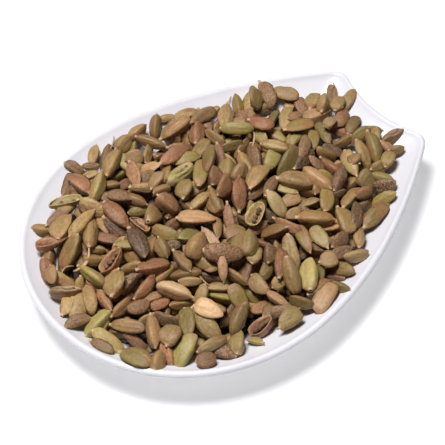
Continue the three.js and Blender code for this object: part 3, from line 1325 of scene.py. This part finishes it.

# Pods that lie free, placed from the photograph in rows of the same form.
SIGHTED: Rows = {
    Look.BRIGHT: [
        (237, 131, 0, 34), (92, 276, -35, 32), (187, 348, 55, 35), (260, 135, -50, 24), (272, 158, 65, 26),
        (98, 322, 35, 30), (253, 294, -30, 22),
    ],
    Look.GREEN: [
        (200, 172, 85, 26), (316, 216, -3, 35), (384, 198, 8, 28), (120, 175, 30, 22),
        (304, 238, -65, 28), (351, 197, 50, 24), (343, 141, 10, 22), (43, 228, -5, 22), (182, 304, 10, 24),
        (167, 172, 80, 26), (187, 160, 15, 28), (312, 142, 85, 22), (126, 246, -5, 22),
        (151, 249, 70, 24), (238, 295, -45, 26),
    ],
    Look.OLIVE: [
        (156, 126, 85, 20), (266, 108, 20, 26), (288, 159, 50, 34), (323, 133, -60, 25), (209, 156, 80, 28),
        (376, 216, 42, 32), (70, 250, 55, 38), (166, 233, -20, 27), (187, 324, -80, 26),
        (302, 301, -15, 25), (136, 356, -25, 32), (344, 266, -30, 26), (274, 232, -5, 31),
        (353, 126, 60, 22),
        (373, 145, -70, 30), (327, 153, 0, 26), (134, 201, -15, 26), (265, 270, 70, 22),
    ],
    Look.BRINDLED: [
        (224, 249, 0, 40),
    ],
    Look.PALE: [
        (97, 183, 75, 30), (275, 135, -35, 26), (286, 119, 80, 24), (108, 340, -25, 37),
        (310, 271, 90, 39), (276, 202, -40, 27),
        (320, 237, -55, 25), (356, 255, 12, 26), (351, 163, -70, 29), (286, 190, -15, 24),
        (126, 164, -50, 24),
        (191, 256, -60, 24), (191, 281, 0, 24),
    ],
    Look.STRAW: [
        (151, 141, -15, 31), (215, 137, -35, 25), (248, 106, 85, 24), (275, 145, -12, 29),
        (207, 321, -38, 38), (239, 320, 60, 28), (212, 342, 25, 31), (128, 324, -15, 35),
        (331, 95, 85, 22), (309, 202, 10, 22), (94, 155, 80, 20), (93, 203, -20, 30), (199, 186, 50, 24),
        (200, 201, 40, 24), (182, 260, -50, 24), (218, 288, 0, 24), (121, 307, 45, 24), (292, 249, -70, 30),
    ],
    Look.TAN: [
        (113, 161, 65, 28), (226, 117, 85, 28), (82, 220, 45, 35), (91, 232, 85, 28), (296, 179, -5, 35),
        (362, 156, -60, 27), (215, 196, -65, 25), (152, 215, 75, 28), (259, 178, 50, 27),
        (331, 225, 15, 26),
        (343, 218, -70, 27), (89, 297, -75, 26), (153, 329, -80, 29), (292, 272, -65, 30),
        (237, 278, -30, 26),
        (286, 93, -15, 28), (359, 236, 88, 22), (148, 154, 75, 20), (176, 125, 24, 34), (108, 186, 5, 24),
        (144, 187, 0, 26), (199, 150, 55, 26), (246, 163, -60, 24), (352, 183, 40, 24), (64, 224, 65, 26),
        (129, 268, 0, 26), (217, 228, -85, 20), (202, 258, -40, 24), (347, 99, 50, 28),
    ],
    Look.PEACH: [
        (174, 288, -18, 38, 0.46), (209, 308, -18, 29, 0.5),
    ],
    Look.CREAM: [
        (197, 217, -2, 38), (327, 296, 55, 33), (151, 166, -5, 24), (317, 175, -38, 32), (318, 114, 20, 30),
        (389, 149, -25, 23), (278, 296, -25, 24),
    ],
    Look.FADED: [
        (223, 266, -85, 20),
    ],
    Look.PINK: [
        (78, 181, -40, 28), (108, 239, -10, 26), (105, 300, -60, 26), (289, 222, -25, 30),
        (144, 287, 50, 28),
        (134, 172, -70, 26), (302, 109, -60, 22), (165, 349, -60, 27), (198, 131, 80, 26),
        (116, 212, -42, 34),
        (230, 218, -75, 24), (330, 165, -40, 22), (57, 215, 35, 24), (225, 195, -20, 20),
        (136, 341, -20, 28),
    ],
    Look.BROWN: [
        (203, 112, 30, 28), (266, 92, -60, 26), (255, 157, -75, 28), (356, 215, 80, 26),
        (74, 166, -20, 22, 0.55),
        (303, 143, 75, 24), (77, 320, 20, 26), (271, 186, 60, 24),
    ],
    Look.RUST: [
        (174, 151, 35, 33), (154, 266, 15, 32), (239, 194, 90, 34), (262, 123, -15, 26), (159, 304, 20, 22),
        (280, 260, 85, 28), (336, 277, -25, 22),
    ],
    Look.DARK: [
        (137, 240, -60, 30),
    ],
    Look.SCAB: [
        (130, 283, 45, 24), (221, 351, -20, 28), (384, 184, -10, 27), (119, 194, -10, 26),
        (317, 164, -25, 20), (172, 246, 10, 17), (238, 263, 20, 19), (339, 178, 65, 25),
    ],
    Look.STUB: [
        (376, 135, 80, 16), (172, 333, 60, 20), (158, 358, 70, 18), (114, 281, 80, 22), (291, 318, 30, 25),
        (239, 340, 80, 20), (380, 166, 20, 19), (364, 178, 50, 17), (329, 258, 10, 18), (123, 142, 40, 19),
        (138, 128, 40, 20), (134, 157, 10, 18), (172, 137, -20, 21), (156, 178, 60, 18), (162, 190, 20, 18),
        (228, 168, 85, 17), (239, 171, 50, 19), (185, 189, 80, 19), (314, 100, 60, 18), (316, 188, 80, 12),
        (97, 250, 0, 18), (235, 234, 60, 18), (248, 240, 85, 22), (255, 254, 70, 17), (163, 248, -60, 18),
        (211, 267, 10, 14), (201, 292, 60, 18), (261, 283, -45, 23), (280, 283, 30, 17), (52, 272, -75, 17),
        (197, 242, 60, 25), (171, 212, 60, 14),
    ],
    Look.STUB_BROWN: [
        (77, 187, 70, 18), (340, 117, 60, 20), (340, 237, 40, 20), (174, 224, 30, 17), (168, 202, -20, 25),
        (223, 183, 60, 21), (259, 307, 20, 19), (124, 184, 30, 14), (214, 174, 80, 18), (250, 118, -60, 17),
        (364, 191, 20, 18), (244, 222, -30, 14), (269, 251, 85, 17), (138, 308, 20, 22),
    ],
    Look.OPEN: [
        (91, 167, 0, 18), (66, 288, 0, 33), (393, 133, 30, 26),
    ],
    Look.OPEN_GREEN: [
        (180, 174, 38, 32),
    ],
    Look.SHELL: [
        (261, 325, 25, 26), (46, 241, 10, 22), (139, 222, -35, 22), (111, 261, 35, 28),
    ],
    Look.SHELL_GREEN: [
        (65, 199, 5, 35, 0.45), (256, 214, 65, 26),
    ],
    Look.STALK: [
        (81, 259, 55, 26), (229, 101, 65, 10), (68, 270, 40, 16), (332, 85, 80, 8), (205, 281, -45, 14),
        (112, 143, 80, 14), (253, 140, 85, 16),
    ],
}

# Small pods that close the gaps through which the dish would show. Their places are where an earlier
# picture of this scene was too white beside the photograph; the rest of each row is chosen by hand.
WEDGED: Rows = {
    Look.STUB: [
        (339, 101, 60, 17), (323, 100, 80, 18), (389, 157, 60, 17), (356, 157, 50, 14), (257, 98, 80, 18),
        (330, 123, 20, 14), (397, 148, 10, 16),
    ],
    Look.STUB_BROWN: [
        (206, 357, 10, 20), (295, 116, 20, 15),
    ],
    Look.OLIVE: [
        (102, 345, -25, 24), (341, 283, -25, 20),
    ],
}


@dataclass
class PodLayer:
    """Lays pods one by one so that each rests on those below it."""

    shape: HeapShape
    view: Viewpoint
    pile: Pile
    sink: float = 0.45
    most_over_dome: float = 2.0
    deepest_sink: float = 2.2
    shortest: float = 6.0
    longest: float = 17.0
    descent: float = 1.2
    lean_cost: float = 0.5
    stalk_lean: float = 0.4
    steepest: float = 36.0
    tilt_steps: int = 11
    girth_range: tuple = (0.88, 1.14)
    search_above: float = 9.0
    search_floor: float = 4.0
    picture_margin: int = 12
    cover_slack: float = 1.0
    seed_sizes: tuple = (2.0, 2.6)
    seed_scatter: float = 0.06
    seed_rise: float = 0.12
    slide: float = 1.5
    random_lengths: tuple = (8.0, 18.0)
    random_girths: tuple = (4.6, 8.8)
    random_trials: int = 4
    random_headings: int = 3
    dice: np.random.Generator = field(default_factory=lambda: np.random.default_rng(20417))
    pods: list[Pod] = field(default_factory=list)

    def __post_init__(self) -> None:
        """Work out the dome over the grid, and start the map of how near the placed pods are."""
        side = int(self.view.picture_side)
        self.nearness = np.full((side, side), NOWHERE)
        self.reach = self.shape.reach(*np.meshgrid(self.pile.xs, self.pile.ys, indexing="ij"))
        self.dome = self.shape.top(self.reach)

    def _over_dome(self, rest: Rest) -> float:
        """How far a pod's back stands over the dome."""
        return rest.top() - float(self.shape.top(self.shape.reach(rest.centre[0], rest.centre[1])))

    def _settle(self, trials: np.ndarray, axes: np.ndarray, length: float, girth: float,
                faults: float | np.ndarray = 0.0) -> Rest:
        """Let a pod down and let it find its lowest tilt.

        Args:
            trials: places in plan to try, one in a row.
            axes: directions of its axis to try, one in a row.
            length: the pod's length.
            girth: the pod's girth.
            faults: how much height each direction has to save before it is taken.

        Returns:
            The lowest rest.
        """
        offsets = axes[:, None, :] * ((SPINE - 0.5) * length)[None, :, None]
        balls = np.empty((len(trials), len(axes), len(SPINE), 4))
        balls[..., :2] = trials[:, None, None, :] + offsets[None, :, :, :2]
        balls[..., 2] = offsets[None, :, :, 2]
        balls[..., 3] = STOUTNESS * girth / 2
        lifts = self.pile.lift(balls)
        trial, axis = np.unravel_index(np.argmin(lifts + faults), lifts.shape)
        height = lifts[trial, axis] - self.sink
        chosen = balls[trial, axis].copy()
        chosen[:, 2] += height
        return Rest(np.array([*trials[trial], height]), axes[axis], chosen)

    def _silhouette(self, rest: Rest) -> tuple[np.ndarray, np.ndarray, np.ndarray]:
        """Find the pixels that a pod covers.

        Args:
            rest: where the pod lies.

        Returns:
            The pixels down and across, and how near to the camera the pod is in each.
        """
        spots = self.view.project(rest.balls[:, :3])
        lows = np.floor(spots[:, :2].min(0) - self.picture_margin).astype(int)
        highs = np.ceil(spots[:, :2].max(0) + self.picture_margin).astype(int)
        columns = np.arange(lows[0], highs[0])
        lines = np.arange(lows[1], highs[1])
        across, down = np.meshgrid(columns, lines, indexing="ij")
        far = (across[..., None] - spots[:, 0]) ** 2 + (down[..., None] - spots[:, 1]) ** 2
        near = rest.balls[:, :3] @ self.view.axes()[2] + rest.balls[:, 3]
        near = np.where(far < (rest.balls[:, 3] * spots[:, 2]) ** 2, near, NOWHERE).max(-1)
        side = self.nearness.shape[0]
        covered = (near > NOWHERE) & (across >= 0) & (down >= 0) & (across < side) & (down < side)
        return down[covered], across[covered], near[covered]

    def _hiding(self, rest: Rest) -> float:
        """Measure how much of a pod would lie before the placed pods.

        Args:
            rest: where the pod lies.

        Returns:
            The share of its silhouette that would hide them.
        """
        down, across, near = self._silhouette(rest)
        if not len(down):
            return 0.0
        seen = self.nearness[down, across]
        return float(((seen > NOWHERE) & (near > seen - self.cover_slack)).mean())

    def _keep(self, kind: Kind, look: Look, rest: Rest, length: float, girth: float) -> None:
        """Leave a pod where it came to rest; an open one faces up.

        Args:
            kind: its kind.
            look: its look.
            rest: where it lies.
            length: its length.
            girth: its girth.
        """
        self.pile.add(rest.balls)
        roll = self.dice.uniform(0, math.tau)
        if kind in (Kind.SPLIT, Kind.SHELL):
            roll = math.pi + self.dice.uniform(-0.3, 0.3)
            raised = self.seed_rise if kind is Kind.SPLIT else -self.seed_rise
            self._add_seeds(rest, length, girth, raised)
        self.pods.append(Pod(kind, look, rest.centre, rest.axis, length, girth, roll))

    def _add_seeds(self, rest: Rest, length: float, girth: float, raised: float) -> None:
        """Leave a few seeds in an open pod.

        Args:
            rest: where the pod lies.
            length: its length.
            girth: its girth.
            raised: how far the seeds lie over its axis, as a share of its girth.
        """
        for share in np.linspace(-0.24, 0.24, 4):
            spot = rest.centre + rest.axis * share * length
            scatter = self.dice.uniform(-self.seed_scatter, self.seed_scatter, 3) * girth
            spot = spot + scatter + np.array([0, 0, raised * girth])
            axis = self.dice.normal(0, 1, 3)
            axis = axis / np.linalg.norm(axis)
            size = float(self.dice.uniform(*self.seed_sizes))
            self.pods.append(Pod(Kind.SEED, Look.SEED, spot, axis, size, size * 0.9, 0.0))

    def _down_sight_line(self, across: float, down: float, axes: np.ndarray, length: float, girth: float,
                         faults: np.ndarray) -> Rest | None:
        """Bring a pod down a pixel's line of sight to the first place where it lies low enough.

        Args:
            across: the pixel's place across the picture.
            down: the pixel's place down the picture.
            axes: directions of the pod's axis to try.
            length: the pod's length.
            girth: the pod's girth.
            faults: what each direction costs.

        Returns:
            Where it comes to rest, or None where the line of sight misses the pile.
        """
        rests = []
        above = -1.0
        highest = self.shape.rim_height + self.shape.crown + self.search_above
        for height in np.arange(highest, self.search_floor, -self.descent):
            spot = self.view.at_height(across, down, height)
            gap = height - self._settle(spot[None, :2], axes, length, girth, faults).centre[2]
            if gap <= 0 < above:
                touch = height + self.descent * gap / (gap - above)
                spot = self.view.at_height(across, down, touch)
                rest = self._settle(spot[None, :2], axes, length, girth, faults)
                rests.append((max(self._over_dome(rest), self.most_over_dome), len(rests), rest))
            above = gap
        return min(rests, key=lambda found: found[:2])[2] if rests else None

    def lay_rows(self, table: Rows) -> None:
        """Lay the pods of a table, short ones first, each under its own pixel.

        Args:
            table: the rows of each look.
        """
        rows = [(look, row) for look, rows in table.items() for row in rows]
        pitches = np.radians(np.linspace(-self.steepest, self.steepest, self.tilt_steps))
        rows.sort(key=lambda pair: pair[1][3] + pair[0].value.kind.value.on_top)
        for look, (across, down, turn, span, *stout) in rows:
            kind = look.value.kind
            heading, stretch = self.view.plan_heading(turn)
            seen_length = span / self.view.pixels_per_mm
            length = min(max(seen_length * stretch, self.shortest), max(self.longest, seen_length))
            share = stout[0] if stout else kind.value.girth_share * self.dice.uniform(*self.girth_range)
            tilts = pitches * (self.stalk_lean if kind is Kind.STALK else 1.0)
            axes = np.stack([math.cos(heading) * np.cos(tilts), math.sin(heading) * np.cos(tilts),
                             np.sin(tilts)], axis=-1)
            tilt = math.radians(turn)
            wanted = seen_length * np.array([math.cos(tilt), math.sin(tilt)])
            faults = self.lean_cost * np.linalg.norm(self.view.seen(axes) * length - wanted, axis=-1)
            rest = self._down_sight_line(across, down, axes, length, length * share, faults)
            if rest is None:
                log.info("no rest for %s at %d, %d", look.name, across, down)
                continue
            drop = min(max(self._over_dome(rest) - self.most_over_dome, 0.0), self.deepest_sink)
            rest.centre[2] -= drop
            rest.balls[:, 2] -= drop
            self._keep(kind, look, rest, length, length * share)
            covered_down, covered_across, near = self._silhouette(rest)
            nearest = np.maximum(self.nearness[covered_down, covered_across], near)
            self.nearness[covered_down, covered_across] = nearest

    def _random_rest(self, length: float, girth: float, low: np.ndarray, pitches: np.ndarray) -> Rest:
        """Try a pod in a low place, turned and shifted a few ways.

        Args:
            length: its length.
            girth: its girth.
            low: the cells where the pile is low.
            pitches: the tilts to try.

        Returns:
            The lowest rest.
        """
        i, j = low[self.dice.integers(0, len(low))]
        shifts = self.slide * np.array([(0, 0), (1, 0), (-1, 0), (0, 1), (0, -1)])
        headings = self.dice.uniform(0, math.tau, self.random_headings)
        headings = np.repeat(headings, len(pitches))
        tilts = np.tile(pitches, self.random_headings)
        flat = np.cos(tilts)
        axes = np.stack([np.cos(headings) * flat, np.sin(headings) * flat, np.sin(tilts)], axis=-1)
        spots = np.array([self.pile.xs[i], self.pile.ys[j]]) + shifts
        return self._settle(spots, axes, length, girth)

    def fill(self, filling: Filling) -> int:
        """Drop pods wherever the pile is still low.

        Args:
            filling: what to drop and when to stop.

        Returns:
            The number of pods laid.
        """
        looks = list(filling.looks)
        chances = np.array(list(filling.looks.values())) / sum(filling.looks.values())
        pitches = np.radians(np.arange(-39, 40, 13))
        laid = failures = 0
        while failures < filling.tries:
            room = self.dome - self.pile.height
            low = np.argwhere((self.reach < filling.edge) & (room > filling.below))
            if not len(low):
                break
            look = looks[int(self.dice.choice(len(looks), p=chances))]
            kind = filling.kind or look.value.kind
            length = self.dice.normal(filling.length, filling.spread)
            length = float(np.clip(length, *self.random_lengths))
            share = kind.value.girth_share * float(np.clip(self.dice.normal(1.0, 0.09), 0.8, 1.2))
            girth = float(np.clip(length * share, *self.random_girths))
            rests = [self._random_rest(length, girth, low, pitches) for _ in range(self.random_trials)]
            over, rest = min(((self._over_dome(rest), rest) for rest in rests), key=lambda pair: pair[0])
            if over > filling.most_above or self._hiding(rest) > filling.hides:
                failures += 1
                continue
            failures = 0
            laid += 1
            self._keep(kind, look, rest, length, girth)
        return laid


@dataclass
class PodPiece:
    """All pods of one kind, joined into one piece."""

    kind: Kind
    seed: int
    texture_shift: float = 300.0
    cell_margin: float = 0.04
    cell_fill: float = 0.92

    def _matrix(self, pod: Pod, form: PodForm) -> Matrix:
        """Work out where a form goes to become a pod.

        Args:
            pod: the pod.
            form: the form.

        Returns:
            The matrix from the form's millimetres to metres in the scene.
        """
        axis = Vector(pod.axis)
        side = axis.cross(Vector((0, 0, 1))).normalized()
        turned = side * math.cos(pod.roll) + side.cross(axis) * math.sin(pod.roll)
        thick = pod.girth / form.girth
        columns = (axis * pod.length / form.length, turned * thick, axis.cross(turned) * thick)
        matrix = Matrix(columns).transposed().to_4x4() * MM
        matrix.translation = Vector(pod.centre) * MM
        matrix[3][3] = 1.0
        return matrix

    def _tones(self, pod: Pod, dice: np.random.Generator) -> dict[str, np.ndarray]:
        """Draw a pod's own tones and marks.

        Args:
            pod: the pod.
            dice: where the chances come from.

        Returns:
            What the husk reads of it, by name.
        """
        hue = pod.look.value
        value = dice.normal(0.93, 0.11)
        warmth = dice.normal(0.0, 0.02)
        tint = np.array([value * (1 + warmth), value, value * (1 - warmth), 1.0])
        traits = (hue.scabbed * dice.uniform(0.4, 1.1), hue.streaked * dice.uniform(0.6, 1.3),
                  hue.blotched * dice.uniform(0.0, 1.9), 1.0)
        ground, blotch = (np.array(tone(*colour)) * tint for colour in (hue.ground, hue.blotch))
        return {"husk_tone": ground, "husk_blush": blotch, "husk_traits": np.array(traits)}

    def build(self, pods: Sequence[Pod], husk: bpy.types.Material) -> bpy.types.Object:
        """Join the pods.

        Args:
            pods: the pods of this kind.
            husk: their material.

        Returns:
            The piece.
        """
        dice = np.random.default_rng(self.seed)
        forms = forms_for(self.kind)
        meshes = [form.build(f"{self.kind.value.title}_form") for form in forms]
        joined = bmesh.new()
        picks = [int(dice.integers(0, len(forms))) for _ in pods]
        for pod, pick in zip(pods, picks):
            copy = meshes[pick].copy()
            copy.transform(self._matrix(pod, forms[pick]))
            joined.from_mesh(copy)
            bpy.data.meshes.remove(copy)
        mesh = mesh_from(joined, self.kind.value.title)
        verts = [len(meshes[pick].vertices) for pick in picks]
        loops = [len(meshes[pick].loops) for pick in picks]
        tones = [self._tones(pod, dice) for pod in pods]
        for name in tones[0]:
            layer = mesh.attributes.new(name, "FLOAT_COLOR", "POINT")
            values = np.repeat([row[name] for row in tones], verts, axis=0)
            layer.data.foreach_set("color", values.ravel())
        shifts = dice.uniform(-self.texture_shift, self.texture_shift, (len(pods), 3))
        self._shift(mesh.attributes["pod_place"].data, 1.0, shifts, verts)
        cells = math.ceil(math.sqrt(len(pods)))
        corners = [(number % cells + self.cell_margin, number // cells + self.cell_margin)
                   for number in range(len(pods))]
        self._shift(mesh.uv_layers["OFBake"].uv, self.cell_fill / cells, np.array(corners) / cells, loops)
        for form_mesh in meshes:
            bpy.data.meshes.remove(form_mesh)
        return add_piece(self.kind.value.title, mesh, (husk,))

    def _shift(self, data: object, scale: float, shifts: np.ndarray, counts: Sequence[int]) -> None:
        """Scale vectors that a mesh carries and move each pod's by its own shift.

        Args:
            data: the vectors.
            scale: the scale.
            shifts: one shift for each pod.
            counts: how many vectors each pod has.
        """
        width = shifts.shape[1]
        values = np.empty(len(data) * width, np.float32)
        data.foreach_get("vector", values)
        moved = values.reshape(-1, width) * scale + np.repeat(shifts, counts, axis=0)
        data.foreach_set("vector", moved.astype(np.float32).ravel())


@dataclass
class HeapCore:
    """The smaller core that fills the heap under its pods."""

    shrink: float = 0.84
    drop: float = 14.0
    middle_x: float = -9.0
    clearance: float = 0.4

    def build(self) -> tuple[bpy.types.Object, BVHTree]:
        """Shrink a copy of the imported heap.

        Returns:
            The core and its search tree.
        """
        made = bmesh.new()
        made.from_mesh(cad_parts["cardamom_heap"].data)
        bmesh.ops.remove_doubles(made, verts=made.verts, dist=0.00001)
        bmesh.ops.recalc_face_normals(made, faces=made.faces)
        made.normal_update()
        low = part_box("cardamom_heap")[0].z + self.clearance * MM
        upper = [vert for vert in made.verts if vert.normal.z > 0]
        for vert in upper:
            vert.co.z = max(vert.co.z - self.drop * MM, low)
        bmesh.ops.scale(made, verts=made.verts, vec=(self.shrink, self.shrink, 1.0),
                        space=Matrix.Translation((-self.middle_x * MM, 0, 0)))
        bmesh.ops.smooth_vert(made, verts=made.verts, factor=0.5,
                              use_axis_x=True, use_axis_y=True, use_axis_z=True)
        tree = BVHTree.FromBMesh(made)
        # The core carries the painted gap shade.
        piece = add_piece("heap_core", mesh_from(made, "heap_core"), (GapShadeFinish().material(),))
        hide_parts("cardamom_heap")
        return piece, tree


@dataclass
class CardamomHeap:
    """The heap: a core, hidden lower pods, the pods that show, and what fills the gaps."""

    view: Viewpoint
    shape: HeapShape
    mixture: dict[Look, float] = field(default_factory=lambda: {
        Look.BRIGHT: 7, Look.GREEN: 15, Look.OLIVE: 17, Look.PALE: 9, Look.STRAW: 16, Look.TAN: 14,
        Look.BROWN: 8, Look.RUST: 3, Look.PINK: 5, Look.DARK: 4, Look.SCAB: 4, Look.CREAM: 3,
        Look.STUB: 6, Look.STUB_BROWN: 4,
    })
    first_seed: int = 100

    def lay(self, grounds: Sequence[BVHTree]) -> PodLayer:
        """Lay every pod.

        Args:
            grounds: search trees of the dish and the core.

        Returns:
            The layer that holds the pods.
        """
        layer = PodLayer(self.shape, self.view, Pile(grounds))
        lower = layer.fill(Filling(self.mixture, below=11.5, most_above=-7.0, tries=40, hides=1.0,
                                   kind=Kind.LOWER))
        log.info("lower pods laid: %d", lower)
        for table in (TUCKED, SIGHTED, WEDGED):
            layer.lay_rows(table)
        upper = layer.fill(Filling(self.mixture, below=3.5, most_above=1.8, tries=80, hides=0.1, edge=0.94))
        small = layer.fill(Filling(self.mixture, below=3.0, most_above=1.2, tries=80, hides=0.08, edge=0.94,
                                   length=10.0, spread=1.0))
        log.info("pods laid in gaps: %d, and small ones: %d", upper, small)
        return layer

    def build(self, dish_tree: BVHTree) -> list[bpy.types.Object]:
        """Lay and make every pod.

        Args:
            dish_tree: search tree of the dish.

        Returns:
            The pieces.
        """
        core, core_tree = HeapCore().build()
        layer = self.lay([dish_tree, core_tree])
        husk = HuskFinish().material()
        pieces = [core]
        for number, kind in enumerate(Kind):
            pods = [pod for pod in layer.pods if pod.kind is kind]
            log.info("%s: %d", kind.value.title, len(pods))
            pieces.append(PodPiece(kind, self.first_seed + number).build(pods, husk))
        return pieces


# --------------------------------------------------------------------------- studio


@dataclass
class Studio:
    """Floor, soft lights and camera."""

    view: Viewpoint
    floor_side: float = 12.0
    air: float = 0.035
    aim: tuple = (0.0, 0.0, 0.02)
    clip: tuple = (0.05, 50.0)

    def build(self) -> None:
        """Make the studio."""
        self._floor()
        self._light("key_softbox", (-0.24, 0.12, 1.3), side=0.38, power=22.0)
        self._light("fill_softbox", (-0.8, -1.0, 0.8), side=0.8, power=0.4)
        self._light("back_softbox", (0.5, 1.1, 1.0), side=0.9, power=0.9)
        self._world()
        self._camera()
        bpy.context.scene.view_settings.view_transform = "Standard"

    def _floor(self) -> None:
        """A plain floor under the dish."""
        made = bmesh.new()
        bmesh.ops.create_grid(made, x_segments=1, y_segments=1, size=self.floor_side / 2)
        mesh = mesh_from(made, "studio_floor", smooth=False)
        mesh.materials.append(FloorFinish().material())
        floor = bpy.data.objects.new("studio_floor", mesh)
        bpy.context.scene.collection.objects.link(floor)

    def _light(self, name: str, place: tuple[float, float, float], side: float, power: float) -> None:
        """Hang a square softbox and aim it at the dish.

        Args:
            name: its name.
            place: where it hangs, in metres.
            side: its side in metres.
            power: its power in watts.
        """
        data = bpy.data.lights.new(name, "AREA")
        data.shape = "SQUARE"
        data.size = side
        data.energy = power
        light = bpy.data.objects.new(name, data)
        light.location = place
        light.rotation_mode = "QUATERNION"
        light.rotation_quaternion = (Vector(self.aim) - Vector(place)).to_track_quat("-Z", "Y")
        light.visible_camera = False
        bpy.context.scene.collection.objects.link(light)

    def _world(self) -> None:
        """Even pale light from all round."""
        world = bpy.data.worlds.new("studio_air")
        world.use_nodes = True
        world.node_tree.nodes["Background"].inputs["Color"].default_value = (1.0, 1.0, 1.0, 1.0)
        world.node_tree.nodes["Background"].inputs["Strength"].default_value = self.air
        bpy.context.scene.world = world

    def _camera(self) -> None:
        """The camera at the photograph's viewpoint."""
        data = bpy.data.cameras.new("camera")
        data.sensor_width = self.view.sensor_mm
        data.lens = self.view.sensor_mm * self.view.focal_pixels / self.view.picture_side
        data.clip_start = self.clip[0]
        data.clip_end = self.clip[1]
        camera = bpy.data.objects.new("camera", data)
        camera.location = Vector(self.view.eye()) * MM
        camera.rotation_mode = "QUATERNION"
        camera.rotation_quaternion = Vector(-self.view.axes()[2]).to_track_quat("-Z", "Y")
        bpy.context.scene.collection.objects.link(camera)
        bpy.context.scene.camera = camera


def main() -> None:
    """Build the studio, the dish and the heap in order."""
    logging.basicConfig(level=logging.INFO, format="%(relativeCreated)d ms  %(message)s")
    view = Viewpoint()
    Studio(view).build()
    dish = GlazedDish()
    piece = dish.build()
    tree = BVHTree.FromPolygons([vert.co for vert in piece.data.vertices],
                                [tuple(face.vertices) for face in piece.data.polygons])
    CardamomHeap(view, HeapShape(dish.rim, dish.rim_height)).build(tree)


if __name__ == "__main__":
    main()
